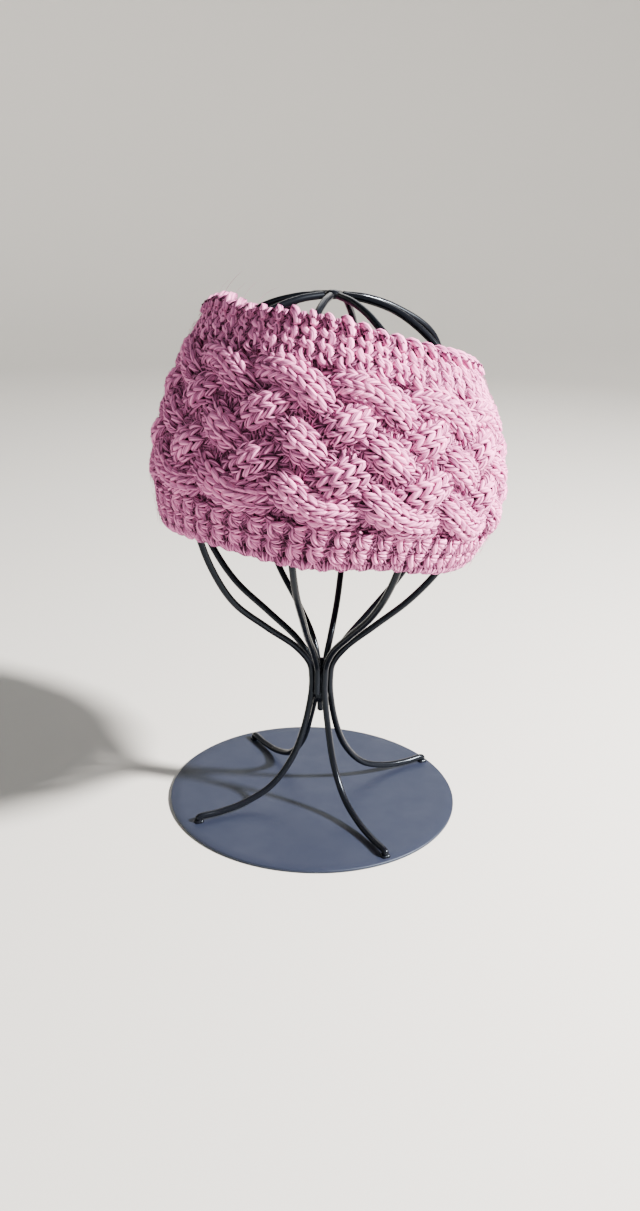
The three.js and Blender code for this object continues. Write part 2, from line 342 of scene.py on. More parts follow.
def skinPoint(v, angle):
    v, angle = np.broadcast_arrays(np.asarray(v, float), np.asarray(angle, float))
    bottom, middle, top = band["centreX"]
    low, high = band["leanRight"]
    lean = np.radians(low + (high - low) * (v + 1) / 2)
    tip = math.sin(math.radians(band["leanBack"]))
    up = np.stack([np.sin(lean), np.full_like(lean, tip), np.sqrt(1 - np.sin(lean) ** 2 - tip**2)], -1)
    right = unit(np.array([1.0, 0, 0]) - up * up[..., :1])
    back = np.cross(up, right)
    nearHem = np.clip((np.abs(v) - band["hemStartV"]) / (1 - band["hemStartV"]), 0, None)
    rise = nearHem * np.where(v > 0, hemRise(topHem, angle), hemRise(bottomHem, angle))
    radius = loopRadius(v)
    half = band["height"] / 2
    centre = np.stack([middle + (top - bottom) / 2 * v + ((top + bottom) / 2 - middle) * v * v,
                       half * v * tip, band["middleZ"] + half * v], -1)
    return (centre + up * rise[..., None] + right * (radius * np.cos(angle))[..., None]
            + back * (radius * np.sin(angle))[..., None])


# A point below the skin, with the directions along the loop, up the band and outward
def bandPlace(v, angle, depth):
    step = 0.001
    across = skinPoint(v + step, angle) - skinPoint(v - step, angle)
    along = unit(skinPoint(v, angle + step) - skinPoint(v, angle - step))
    outward = unit(np.cross(along, across))
    point = skinPoint(v, angle) - outward * np.asarray(depth)[..., None]
    return point, along, np.cross(outward, along), outward


# The plait: six strands, which cross by three pairs and then by two, once in each repeat

plait = {
    "repeats": 13,
    "start": 0.375,
    "strands": 6,
    "edgeV": 0.655,
    "lift": 0.0031,
    "cornerEase": 0.13,
    "rowsPerRepeat": 8,
    "halfWidth": 0.0076,
    "crown": 0.0060,
    "splayDown": 0.62,
    "splayUp": 0.98,
    "legsAcross": 6,
    "legPitch": 0.00302,
    "skinDepth": 0.0001,
    "deepest": 0.0064,
    "edgeShade": 0.45,
}


# A strand goes down the panel in three repeats and comes up again in the next three.
def turnAt(t):
    return np.mod(t + 0.25, plait["strands"])


# Where a strand is at repeat t: 0.5 at the panel's upper edge, 5.5 at its lower edge
def strandPlace(t):
    turn = turnAt(t)
    return np.where(turn < 3, np.minimum(5.5, 0.5 + 2 * turn), np.maximum(0.5, 5.5 - 2 * (turn - 3)))


def easedPlace(t):
    ease = plait["cornerEase"]
    return (strandPlace(t - ease) + 2 * strandPlace(t) + strandPlace(t + ease)) / 4


# A strand lies over the others at 1 and under them at -1. It stays over while it turns at the lower edge,
# and comes up early at the upper edge. Those turns start 2.25 and 5.25 repeats after its own start.
def strandLayer(t):
    turn = turnAt(t)
    wave = np.cos(2 * math.pi * t)
    atBottom = turn - 2.25
    atTop = np.mod(turn - 5.25, plait["strands"])
    layer = np.where(turn < 3, wave, -wave)
    layer = np.where((atBottom > 0) & (atBottom < 1), np.cos(math.pi * atBottom**2), layer)
    return np.where(atTop < 1, np.cos(math.pi * (1 - atTop) ** 2), layer)


def strandDepth(t):
    return plait["skinDepth"] + plait["lift"] * (1 - strandLayer(t))


def strandLine(strand, t):
    angle = 2 * math.pi * (t - strand + plait["start"]) / plait["repeats"]
    v = plait["edgeV"] * (1 - easedPlace(t) / 3)
    return bandPlace(v, angle, strandDepth(t))


# Across a strand its skin is half an ellipse. Turns a distance along it into an angle on the ellipse.
def ellipseAngle(distance, samples=200):
    angles = np.linspace(0, math.pi / 2, samples)
    speed = np.hypot(plait["halfWidth"] * np.cos(angles), plait["crown"] * np.sin(angles))
    lengths = np.concatenate([[0], np.cumsum((speed[1:] + speed[:-1]) / 2 * np.diff(angles))])
    return math.copysign(np.interp(abs(distance), lengths, angles), distance)


# Stitch spots: points, the yarn's direction, the way the stitch faces, which way it splays and how much
# painted shade it gets
def spotSet(point, along, outward, side, paintedShade):
    count = len(point)
    return {"point": point, "along": unit(along), "outward": unit(outward),
            "side": np.broadcast_to(np.asarray(side, float), count),
            "paintedShade": np.broadcast_to(np.asarray(paintedShade, float), count)}


def joinSpots(parts):
    return {key: np.concatenate([part[key] for part in parts]) for key in parts[0]}


# Where each leg of each stitch on a strand sits
def strandSpots(strand):
    rows = plait["repeats"] * plait["rowsPerRepeat"]
    step = 0.02
    t = strand + (np.arange(rows) + 0.5) / plait["rowsPerRepeat"]
    centre, _, _, outward = strandLine(strand, t)
    along = unit(strandLine(strand, t + step)[0] - strandLine(strand, t - step)[0])
    outward = unit(outward - along * (outward * along).sum(-1, keepdims=True))
    sideways = np.cross(outward, along)
    goesDown = turnAt(t) < 3
    parts = []
    for column in range(plait["legsAcross"]):
        turn = ellipseAngle((column - (plait["legsAcross"] - 1) / 2) * plait["legPitch"])
        shift = plait["halfWidth"] * math.sin(turn)
        room = plait["deepest"] - strandDepth(t)
        drop = np.minimum(plait["crown"] * (1 - math.cos(turn)), room)[:, None]
        face = outward * math.cos(turn) / plait["crown"] + sideways * math.sin(turn) / plait["halfWidth"]
        splay = np.where(goesDown, plait["splayDown"], plait["splayUp"]) * (1.0 if column % 2 else -1.0)
        # The outer columns of each strand get painted shade, and so do the stitches under other strands.
        creviceShade = plait["edgeShade"] if column in (0, plait["legsAcross"] - 1) else 0.0
        parts.append(spotSet(centre + sideways * shift - outward * drop, along, face, splay,
                             (1 - strandLayer(t)) / 2 + creviceShade))
    return joinSpots(parts)


# A loose-point mesh that carries the directions of each stitch as attributes
def spotObject(name, spots):
    mesh = bpy.data.meshes.new(name)
    mesh.from_pydata(spots["point"].tolist(), [], [])
    for key in ("along", "outward"):
        attribute = mesh.attributes.new(key, "FLOAT_VECTOR", "POINT")
        attribute.data.foreach_set("vector", spots[key].astype(np.float32).ravel())
    for key in ("side", "paintedShade"):
        attribute = mesh.attributes.new(key, "FLOAT", "POINT")
        attribute.data.foreach_set("value", spots[key].astype(np.float32))
    source = bpy.data.objects.new(name, mesh)
    bpy.context.scene.collection.objects.link(source)
    return source


# One leg of a stitch: a short spindle of plied yarn, thick in the middle, with both ends dipping
legSizes = {
    "Length": 0.0078,
    "Thickness": 0.0031,
    "Start Thinness": 0.62,
    "End Thinness": 0.78,
    "Bow": 0.0,
    "Start Dip": 0.0023,
    "End Dip": 0.0021,
    "Splay": 24.0,
    "Plies": 4,
    "Groove": 0.80,
    "Ply Turns": -0.34,
    "Steps": 6,
    "Angle Jitter": 5.0,
    "Size Jitter": 0.09,
    "Seed": 1,
}
legShape = {"bendPower": 2.2, "taperPower": 2.6}
seedSteps = {"scale": 7.0, "tint": 13.0}  # so that size and tint vary apart from the angle


def makeStitchTree(material):
    tree, given, result = newTree("yarnStitches", legSizes)
    size = {label: outOf(given, label) for label in legSizes}

    # The leg's centre line runs along X. Both ends dip below the crown at different rates.
    line = addNode(tree, "GeometryNodeCurvePrimitiveLine", {"Start": (0, 0, 0), "End": (1, 0, 0)})
    line = addNode(tree, "GeometryNodeResampleCurve", {"Curve": outOf(line), "Count": size["Steps"]})
    factor = outOf(addNode(tree, "GeometryNodeSplineParameter"), "Factor")
    centred = calc(tree, "SUBTRACT", factor, 0.5)
    doubled = calc(tree, "MULTIPLY", centred, 2.0)
    bend = calc(tree, "POWER", calc(tree, "ABSOLUTE", doubled), legShape["bendPower"])
    isEnd = calc(tree, "GREATER_THAN", factor, 0.5)
    dip = addNode(tree, "ShaderNodeMix", {0: isEnd, 2: size["Start Dip"], 3: size["End Dip"]}).outputs[0]
    height = calc(tree, "MULTIPLY", calc(tree, "MULTIPLY", dip, bend), -1.0)
    bow = calc(tree, "MULTIPLY", size["Bow"], calc(tree, "SUBTRACT", 1.0, bend))
    spot = addNode(tree, "ShaderNodeCombineXYZ", {0: calc(tree, "MULTIPLY", centred, size["Length"]),
                                                  1: bow, 2: height})
    shaped = addNode(tree, "GeometryNodeSetPosition", {"Geometry": outOf(line), "Position": outOf(spot)})
    thin = addNode(tree, "ShaderNodeMix", {0: isEnd, 2: size["Start Thinness"],
                                           3: size["End Thinness"]}).outputs[0]
    narrowing = calc(tree, "MULTIPLY", calc(tree, "SUBTRACT", 1.0, thin),
                     calc(tree, "POWER", calc(tree, "ABSOLUTE", doubled), legShape["taperPower"]))
    radius = calc(tree, "MULTIPLY", calc(tree, "MULTIPLY", size["Thickness"], 0.5),
                  calc(tree, "SUBTRACT", 1.0, narrowing))
    twist = calc(tree, "MULTIPLY", calc(tree, "MULTIPLY", factor, size["Ply Turns"]), 2 * math.pi)
    counted = addNode(tree, "GeometryNodeStoreNamedAttribute",
                      {"Geometry": outOf(shaped), "Name": "plyAlong", "Value": factor})
    tilted = addNode(tree, "GeometryNodeSetCurveTilt", {"Curve": outOf(counted), "Tilt": twist})

    # The plied section is a star with blunt points. Its points are the crests of the plies.
    star = addNode(tree, "GeometryNodeCurveStar", {"Points": size["Plies"], "Outer Radius": 1.0,
                                                   "Inner Radius": size["Groove"]})
    crest = addNode(tree, "GeometryNodeStoreNamedAttribute",
                    {"Geometry": outOf(star), "Name": "plyCrest", "Value": outOf(star, "Outer Points")})
    local = outOf(addNode(tree, "GeometryNodeInputPosition"))
    crest = addNode(tree, "GeometryNodeStoreNamedAttribute",
                    {"Geometry": outOf(crest), "Name": "plyPlace", "Value": local},
                    data_type="FLOAT_VECTOR")
    tube = addNode(tree, "GeometryNodeCurveToMesh", {"Curve": outOf(tilted), "Profile Curve": outOf(crest),
                                                     "Scale": radius, "Fill Caps": True})
    marked = addNode(tree, "GeometryNodeStoreNamedAttribute",
                     {"Geometry": outOf(tube), "Name": "yarnPlace", "Value": local},
                     data_type="FLOAT_VECTOR")
    smooth = addNode(tree, "GeometryNodeSetShadeSmooth", {"Geometry": outOf(marked)})

    # Each spot turns the leg to its own directions, with a little disorder.
    along = addNode(tree, "GeometryNodeInputNamedAttribute", {"Name": "along"}, data_type="FLOAT_VECTOR")
    outward = addNode(tree, "GeometryNodeInputNamedAttribute", {"Name": "outward"},
                      data_type="FLOAT_VECTOR")
    side = outOf(addNode(tree, "GeometryNodeInputNamedAttribute", {"Name": "side"}, data_type="FLOAT"))
    axes = addNode(tree, "FunctionNodeAxesToRotation", {0: outOf(outward), 1: outOf(along)},
                   primary_axis="Z", secondary_axis="X")
    jitter = addNode(tree, "FunctionNodeRandomValue", {2: -1.0, 3: 1.0, "Seed": size["Seed"]})
    lean = calc(tree, "MULTIPLY_ADD", side, size["Splay"],
                calc(tree, "MULTIPLY", outOf(jitter, "Value"), size["Angle Jitter"]))
    turned = addNode(tree, "FunctionNodeAxisAngleToRotation",
                     {"Axis": (0, 0, 1), "Angle": calc(tree, "RADIANS", lean)})
    rotation = addNode(tree, "FunctionNodeRotateRotation", {0: outOf(axes), 1: outOf(turned)},
                       rotation_space="LOCAL")
    varied = addNode(tree, "FunctionNodeRandomValue",
                     {2: calc(tree, "SUBTRACT", 1.0, size["Size Jitter"]),
                      3: calc(tree, "ADD", 1.0, size["Size Jitter"]),
                      "Seed": calc(tree, "ADD", size["Seed"], seedSteps["scale"])})
    legs = addNode(tree, "GeometryNodeInstanceOnPoints",
                   {"Points": outOf(given, "Geometry"), "Instance": outOf(smooth),
                    "Rotation": outOf(rotation), "Scale": outOf(varied, "Value")})
    tint = addNode(tree, "FunctionNodeRandomValue",
                   {2: 0.0, 3: 1.0, "Seed": calc(tree, "ADD", size["Seed"], seedSteps["tint"])})
    tinted = addNode(tree, "GeometryNodeStoreNamedAttribute",
                     {"Geometry": outOf(legs), "Name": "stitchTint", "Value": outOf(tint, "Value")},
                     domain="INSTANCE")
    real = addNode(tree, "GeometryNodeRealizeInstances", {"Geometry": outOf(tinted)})
    dressed = addNode(tree, "GeometryNodeSetMaterial", {"Geometry": outOf(real), "Material": material})
    tree.links.new(outOf(dressed), result.inputs[0])
    return tree


stitchTree = makeStitchTree(woolMaterial)
seeds = {"strands": 100, "top": 210, "bottom": 240, "purls": 300, "inside": 310, "hairs": 400,
         "strays": 401}


def makeStrands():
    for strand in range(plait["strands"]):
        source = spotObject(f"strandSpots{strand}", strandSpots(strand))
        seed = seeds["strands"] + strand
        piece = grow(f"plait_strand_{strand + 1}", source, stitchTree, {"Seed": seed})
        finishPiece(piece, "wool_knit", "knit_band")


# The borders: upright garter ridges. Each ridge is two columns of arcs, which bow away from each other,
# and yarn crosses the valleys between the ridges.

garter = {
    "ridges": 52,
    "edgeV": 0.655,
    "stitches": {1: (0.12, 0.42, 0.72), -1: (0.175, 0.585)},
    "stagger": 0.075,
    "columnShift": 0.045,
    "columnTurn": 0.30,
    "crestDepth": 0.0019,
    "valleyDepth": {1: 0.0042, -1: 0.0048},
    "valleyRows": {1: (0.05, 0.28, 0.51, 0.74), -1: (0.02, 0.33, 0.66)},
    # Painted shade on the yarns in the valleys
    "valleyShade": {1: 0.85, -1: 1.0},
    "insideDepth": 0.0044,
    "fanDeeper": 0.0002,
    "fanTurn": 0.25,
    "hemV": {1: 1.0, -1: 0.993},
    "hemDepth": {1: 0.0028, -1: 0.0032},
    "hemTurn": 0.3,
    # Painted shade on the hem yarns, more on those set lower
    "hemShade": {1: 0.0, -1: 0.62},
    "lowerShade": {1: 260, -1: 150},
    "knobShift": 0.02,
    "knobV": 0.962,
    "knobDepth": 0.0011,
    "knobLean": 0.5,
    "knobTurn": 0.2,
}
arcSizes = {"Length": 0.0064, "Thickness": 0.0034, "Start Thinness": 0.70, "End Thinness": 0.66,
            "Bow": 0.0017, "Start Dip": 0.0019, "End Dip": 0.0022, "Splay": 20.0, "Angle Jitter": 9.0,
            "Size Jitter": 0.12}
tallSizes = {**arcSizes, "Length": 0.0090, "Thickness": 0.0030, "Start Thinness": 0.66,
             "End Thinness": 0.62, "Start Dip": 0.0024, "End Dip": 0.0028, "Splay": 16.0}
fanSizes = {"Length": 0.0056, "Thickness": 0.0024, "Start Thinness": 0.7, "End Thinness": 0.7,
            "Start Dip": 0.0009, "End Dip": 0.0024, "Splay": 0.0, "Angle Jitter": 8.0,
            "Size Jitter": 0.12}
valleySizes = {"Length": 0.0060, "Thickness": 0.0032, "Start Thinness": 0.8, "End Thinness": 0.8,
               "Start Dip": 0.0008, "End Dip": 0.0008, "Splay": -14.0, "Angle Jitter": 10.0, "Steps": 5}
hemSizes = {"Length": 0.0064, "Thickness": 0.0029, "Start Thinness": 0.7, "End Thinness": 0.7,
            "Start Dip": 0.0026, "End Dip": 0.0026, "Splay": 0.0, "Angle Jitter": 8.0}
stripSizes = {**hemSizes, "Length": 0.0060, "Thickness": 0.0028, "Start Dip": 0.0014, "End Dip": 0.0012,
              "Size Jitter": 0.12}
knobSizes = {**arcSizes, "Length": 0.0096, "Thickness": 0.0039, "Bow": -0.0008, "Splay": 0.0,
             "Start Dip": 0.0008, "End Dip": 0.0030, "Size Jitter": 0.14}


def borderV(end, part):
    return end * (garter["edgeV"] + (1 - garter["edgeV"]) * part)


# The bearings of all ridges, moved on by a share of a ridge
def ridgeAngles(shift):
    return 2 * math.pi / garter["ridges"] * (np.arange(garter["ridges"]) + shift)


# One column of arcs of every ridge: column -1 bows to the left and 1 to the right, seen from its side.
def arcSpots(end, column, inside):
    angles = ridgeAngles(0.5 if inside else 0.0)
    angles = angles + column * garter["columnShift"] * 2 * math.pi / garter["ridges"]
    facing = -1.0 if inside else 1.0
    depth = garter["insideDepth"] if inside else garter["crestDepth"]
    parts = []
    for part in garter["stitches"][end]:
        v = borderV(end, part + end * column * garter["stagger"])
        point, along, up, outward = bandPlace(v, angles, depth)
        face = (outward + along * column * facing * garter["columnTurn"]) * facing
        parts.append(spotSet(point, -up * column * facing, face, 1.0, 0.0))
    return joinSpots(parts)


# Where the arcs are tall, short yarns fan out on their right: shift along the loop in ridges, shift up the
# border in metres, slant in degrees and how much painted shade they get
fanRows = [(0.17, 0.0022, 4, 0.0), (0.19, -0.0003, -22, 0.05), (0.15, -0.0028, -48, 0.2)]


def fanSpots(end):
    depth = garter["crestDepth"] + garter["fanDeeper"]
    parts = []
    for part in garter["stitches"][end]:
        for shift, rise, slant, paintedShade in fanRows:
            point, along, up, outward = bandPlace(borderV(end, part), ridgeAngles(shift), depth)
            tilt = math.radians(slant)
            parts.append(spotSet(point + up * rise, along * math.cos(tilt) + up * math.sin(tilt),
                                 outward + along * garter["fanTurn"], 1.0, paintedShade))
    return joinSpots(parts)


def valleySpots(end):
    depth = garter["valleyDepth"][end]
    parts = []
    for part in garter["valleyRows"][end]:
        point, along, _, outward = bandPlace(borderV(end, part), ridgeAngles(0.5), depth)
        # Valley yarns get painted shade.
        parts.append(spotSet(point, along, outward, 1.0, garter["valleyShade"][end]))
    return joinSpots(parts)


# Yarns at the hems: shift in ridges, how much lower than the edge, and how they lean. At the bottom they
# stand side by side in a low strip with small scallops between the ridges. At the top they wrap over the
# edge, and each ridge ends in a long slanted loop.
hemRows = {
    1: [(0.10, 0.0016, 0.15), (0.55, 0.0014, 0.0)],
    -1: [(0.03, 0.0010, 0.1), (0.19, 0.0007, -0.45), (0.36, 0.0001, -0.25), (0.52, 0.0, 0.05),
         (0.69, 0.0001, 0.3), (0.86, 0.0007, 0.45)],
}


def hemSpots(end):
    v = end * garter["hemV"][end]
    turn = garter["hemTurn"]
    parts = []
    for shift, lower, lean in hemRows[end]:
        point, along, up, outward = bandPlace(v, ridgeAngles(shift), garter["hemDepth"][end])
        point = point - up * end * lower
        # Hem yarns get painted shade, more the lower they are set.
        paintedShade = garter["hemShade"][end] + lower * garter["lowerShade"][end]
        if end > 0:
            parts.append(spotSet(point, -outward - along * lean, up - along * lean * turn, 1.0, paintedShade))
        else:
            parts.append(spotSet(point, up + along * lean, outward - up * turn, 1.0, paintedShade))
    return joinSpots(parts)


def knobSpots():
    angles = ridgeAngles(garter["knobShift"])
    point, along, up, outward = bandPlace(garter["knobV"], angles, garter["knobDepth"])
    return spotSet(point, up - along * garter["knobLean"], outward + up * garter["knobTurn"], 1.0, 0.0)


# The inside of the panel: low purl bumps in level rows, with a little painted shade
purl = {"rows": 150, "wales": 16, "depth": 0.0063, "paintedShade": 0.2}
purlSizes = {"Length": 0.0054, "Thickness": 0.0030, "Start Thinness": 0.75, "End Thinness": 0.75,
             "Bow": 0.0007, "Start Dip": 0.0006, "End Dip": 0.0006, "Splay": 6.0, "Plies": 3, "Steps": 4}
insideSizes = {**arcSizes, "Steps": 5}


def purlSpots():
    parts = []
    angles = 2 * math.pi * np.arange(purl["rows"]) / purl["rows"]
    for wale in range(purl["wales"]):
        v = garter["edgeV"] * (2 * (wale + 0.5) / purl["wales"] - 1)
        stagger = (wale % 2 - 0.5) * math.pi / purl["rows"]
        point, _, up, outward = bandPlace(v, angles + stagger, purl["depth"])
        parts.append(spotSet(point, up * (1 if wale % 2 else -1), -outward, 1.0, purl["paintedShade"]))
    return joinSpots(parts)


# Joins several grown meshes to one piece
def merged(name, pieces):
    with bpy.context.temp_override(active_object=pieces[0], selected_editable_objects=pieces,
                                   selected_objects=pieces):
        bpy.ops.object.join()
    pieces[0].name = name
    pieces[0].data.name = name
    return pieces[0]


def makeBorders():
    for label, end in (("top", 1), ("bottom", -1)):
        shapes = [(arcSpots(end, -1, False), arcSizes if end > 0 else tallSizes),
                  (arcSpots(end, 1, False), arcSizes) if end > 0 else (fanSpots(end), fanSizes),
                  (valleySpots(end), valleySizes),
                  (hemSpots(end), hemSizes if end > 0 else stripSizes)]
        if end > 0:
            shapes.append((knobSpots(), knobSizes))
        grown = []
        for index, (spots, sizes) in enumerate(shapes):
            source = spotObject("borderSpots", spots)
            grown.append(grow("yarns", source, stitchTree, {**sizes, "Seed": seeds[label] + index}))
        finishPiece(merged(f"garter_border_{label}", grown), "wool_knit", "knit_band")


def makeInside():
    source = spotObject("purlSpots", purlSpots())
    grown = [grow("purls", source, stitchTree, {**purlSizes, "Seed": seeds["purls"]})]
    for end in (1, -1):
        for column in (-1, 1):
            source = spotObject("arcSpots", arcSpots(end, column, True))
            seed = seeds["inside"] + end + 3 * column
            grown.append(grow("arcs", source, stitchTree, {**insideSizes, "Seed": seed}))
    finishPiece(merged("band_inside", grown), "wool_knit", "knit_band")


# The body of the fabric under the stitches: a closed shell that follows the relief a little deeper, in wool
# darkened by painted shade

core = {
    "columns": 208,
    "panelRows": 48,
    "borderRows": 6,
    "backRows": 9,
    "endV": 0.985,
    "borderGap": 0.01,
    "backGap": 0.02,
    "halfWidth": 0.7,
    "crown": 0.0035,
    "floor": 0.0046,
    "under": 0.0026,
    "deepest": 0.0062,
    "panelInside": 0.0068,
    "ridge": 0.0009,
    "valley": 0.0014,
    "borderUnder": 0.0016,
    "borderInside": 0.0048,
}


def plaitDepth(repeat, place):
    height = np.full(np.broadcast(repeat, place).shape, -core["floor"])
    for strand in range(plait["strands"]):
        t = repeat + strand
        offset = (place - easedPlace(t)) / core["halfWidth"]
        bulge = core["crown"] * (np.sqrt(np.clip(1 - offset**2, 0, None)) - 1)
        over = bulge - plait["lift"] * (1 - strandLayer(t))
        height = np.maximum(height, np.where(np.abs(offset) < 1, over, -core["floor"]))
    return -height


def reliefDepth(v, angle):
    repeat = angle * plait["repeats"] / (2 * math.pi) - plait["start"]
    place = (1 - v / plait["edgeV"]) * plait["strands"] / 2
    wave = (1 - np.cos(angle * garter["ridges"])) / 2
    inPanel = np.abs(v) <= plait["edgeV"]
    return np.where(inPanel, plaitDepth(repeat, place), core["ridge"] + core["valley"] * wave)


def makeCore():
    edge = plait["edgeV"]
    gap = core["backGap"]
    border = np.linspace(core["endV"], edge + core["borderGap"], core["borderRows"])
    panel = np.linspace(edge, -edge, core["panelRows"] + 1)
    rows = np.concatenate([border, panel, -border[::-1]])
    angles = 2 * math.pi * np.arange(core["columns"]) / core["columns"]
    v, angle = np.meshgrid(rows, angles, indexing="ij")
    under = np.where(np.abs(v) <= edge, core["under"], core["borderUnder"])
    outer = bandPlace(v, angle, np.minimum(reliefDepth(v, angle) + under, core["deepest"]))[0]
    middle = np.linspace(gap - edge, edge - gap, core["backRows"])
    back = np.concatenate([[-core["endV"], -edge - gap], middle, [edge + gap, core["endV"]]])
    v, angle = np.meshgrid(back, angles, indexing="ij")
    thick = np.where(np.abs(v) < edge, core["panelInside"], core["borderInside"])
    inner = bandPlace(v, angle, thick)[0]
    grid = np.concatenate([outer, inner])
    count = core["columns"]
    rowsInAll = len(grid)
    faces = []
    for row in range(rowsInAll):
        after = (row + 1) % rowsInAll
        for column in range(count):
            beside = (column + 1) % count
            faces.append((row * count + column, after * count + column, after * count + beside,
                          row * count + beside))
    mesh = bpy.data.meshes.new("band_core")
    mesh.from_pydata(grid.reshape(-1, 3).tolist(), [], faces)
    mesh.shade_smooth()
    mesh.materials.append(coreShadedWool)
    piece = bpy.data.objects.new("band_core", mesh)
    bpy.context.scene.collection.objects.link(piece)
    finishPiece(piece, "wool_knit", "knit_band")


# Loose fibres that stand off the yarn, and a few long ones at the top hem

fuzz = {
    "count": 3900,
    "seed": 5,
    "rangeV": (-0.97, 0.93),
    "follow": 0.8,
    "raise": 0.0008,
    "stand": (0.05, 0.75),
}
stray = {
    "bearings": (206, 213, 219, 226, 236),
    "v": 0.99,
    "depth": 0.001,
    "raise": 0.004,
    "outward": 0.25,
    "along": 0.3,
}
hairSizes = {"Length": 0.0042, "Thickness": 0.00010, "Start Thinness": 0.8, "End Thinness": 0.35,
             "Bow": 0.0007, "Start Dip": 0.0006, "End Dip": -0.0004, "Splay": 0.0, "Plies": 2,
             "Groove": 0.7, "Ply Turns": 0.0, "Steps": 4, "Angle Jitter": 30.0, "Size Jitter": 0.5}
straySizes = {**hairSizes, "Length": 0.0125, "Bow": 0.0026, "Steps": 9, "Angle Jitter": 50.0}


def makeFuzz():
    random = np.random.default_rng(fuzz["seed"])
    v = random.uniform(*fuzz["rangeV"], fuzz["count"])
    angle = random.uniform(0, 2 * math.pi, fuzz["count"])
    depth = reliefDepth(v, angle) * fuzz["follow"] - fuzz["raise"]
    point, along, up, outward = bandPlace(v, angle, depth)
    turn = random.uniform(0, 2 * math.pi, fuzz["count"])[:, None]
    stand = random.uniform(*fuzz["stand"], fuzz["count"])[:, None]
    lie = along * np.cos(turn) + up * np.sin(turn) + outward * stand
    short = spotSet(point, lie, outward, 0.0, 0.0)
    point, along, up, outward = bandPlace(stray["v"], np.radians(stray["bearings"]), stray["depth"])
    lie = up + outward * stray["outward"] + along * stray["along"]
    long = spotSet(point + up * stray["raise"], lie, outward, 0.0, 0.0)
    grown = []
    for spots, sizes, seed in ((short, hairSizes, seeds["hairs"]), (long, straySizes, seeds["strays"])):
        source = spotObject("fibreSpots", spots)
        grown.append(grow("fibres", source, stitchTree, {**sizes, "Seed": seed}))
    finishPiece(merged("loose_fibres", grown), "wool_knit", "knit_band")


# Smooth wires on the same centre lines as the solids

wire = {"radius": 0.0017, "sides": 20, "axisX": 0.003, "tipDrop": 0.0018}
legProfile = [(0.0700, 0.0037), (0.0580, 0.0041), (0.0440, 0.0058), (0.0285, 0.0120), (0.0164, 0.0255),
              (0.0096, 0.0420)]
ribProfile = [(0.0052, 0.0620), (0.0050, 0.0700), (0.0060, 0.0780), (0.0128, 0.0885), (0.0270, 0.1020),
              (0.0440, 0.1180), (0.0580, 0.1360), (0.0675, 0.1560), (0.0720, 0.1790), (0.0705, 0.2020),
              (0.0635, 0.2240), (0.0525, 0.2435), (0.0330, 0.2565), (0.0170, 0.2616), (0.0054, 0.2630)]
# Name, bearing of the leg, which only long wires have, bearings at the waist and of the rib, and how far
# the wire bows out at the flare and the shoulder
longWires = [("wire_front_left", -150.6, -157.5, -152.6, 0.0055, -0.0025),
             ("wire_front_right", -61.1, -67.5, -59.3, 0.0, 0.0015),
             ("wire_back_right", 32.4, 22.5, 28.2, 0.0, 0.0035),
             ("wire_back_left", 122.7, 112.5, 123.9, 0.0, 0.0)]
shortRibs = [("rib_front", -112.5, -102.9, 0.0, 0.0), ("rib_right", -22.5, -15.7, 0.0, -0.0035),
             ("rib_back", 67.5, 77.3, 0.0, 0.0), ("rib_left", 157.5, 168.4, 0.0025, 0.0)]
bow = {"flareZ": 0.114, "flareWidth": 0.024, "shoulderZ": 0.240, "shoulderWidth": 0.015}
spread = {"fromZ": 0.075, "toZ": 0.118}  # between these heights a rib turns to its own bearing


def standPoint(radius, z, bearing):
    angle = math.radians(bearing)
    return Vector((wire["axisX"] + radius * math.cos(angle), radius * math.sin(angle), z))


# A centripetal curve through the points, as the solid's path is
def smoothPath(points, perSpan=10):
    ends = [points[0] * 2 - points[1], *points, points[-1] * 2 - points[-2]]
    path = []
    for p0, p1, p2, p3 in zip(ends, ends[1:], ends[2:], ends[3:]):
        t0 = 0.0
        t1 = t0 + math.sqrt((p1 - p0).length)
        t2 = t1 + math.sqrt((p2 - p1).length)
        t3 = t2 + math.sqrt((p3 - p2).length)
        for step in range(perSpan):
            t = t1 + (t2 - t1) * step / perSpan
            a1 = p0 * ((t1 - t) / (t1 - t0)) + p1 * ((t - t0) / (t1 - t0))
            a2 = p1 * ((t2 - t) / (t2 - t1)) + p2 * ((t - t1) / (t2 - t1))
            a3 = p2 * ((t3 - t) / (t3 - t2)) + p3 * ((t - t2) / (t3 - t2))
            b1 = a1 * ((t2 - t) / (t2 - t0)) + a2 * ((t - t0) / (t2 - t0))
            b2 = a2 * ((t3 - t) / (t3 - t1)) + a3 * ((t - t1) / (t3 - t1))
            path.append(b1 * ((t2 - t) / (t2 - t1)) + b2 * ((t - t1) / (t2 - t1)))
    return [*path, points[-1]]


def pathObject(name, points):
    mesh = bpy.data.meshes.new(name)
    mesh.from_pydata([tuple(point) for point in points],
                     [(index, index + 1) for index in range(len(points) - 1)], [])
    source = bpy.data.objects.new(name, mesh)
    bpy.context.scene.collection.objects.link(source)
    return source


def makeWireTree(material):
    sizes = {"Radius": wire["radius"], "Sides": wire["sides"]}
    tree, given, result = newTree("roundWire", sizes)
    path = addNode(tree, "GeometryNodeMeshToCurve", {"Mesh": outOf(given, "Geometry")})
    ring = addNode(tree, "GeometryNodeCurvePrimitiveCircle", {"Resolution": outOf(given, "Sides"),
                                                              "Radius": outOf(given, "Radius")})
    tube = addNode(tree, "GeometryNodeCurveToMesh", {"Curve": outOf(path), "Profile Curve": outOf(ring),
                                                     "Fill Caps": True})
    real = addNode(tree, "GeometryNodeRealizeInstances", {"Geometry": outOf(tube)})
    dressed = addNode(tree, "GeometryNodeSetMaterial", {"Geometry": outOf(real), "Material": material})
    tree.links.new(outOf(dressed), result.inputs[0])
    return tree


wireTree = makeWireTree(wirePaint)


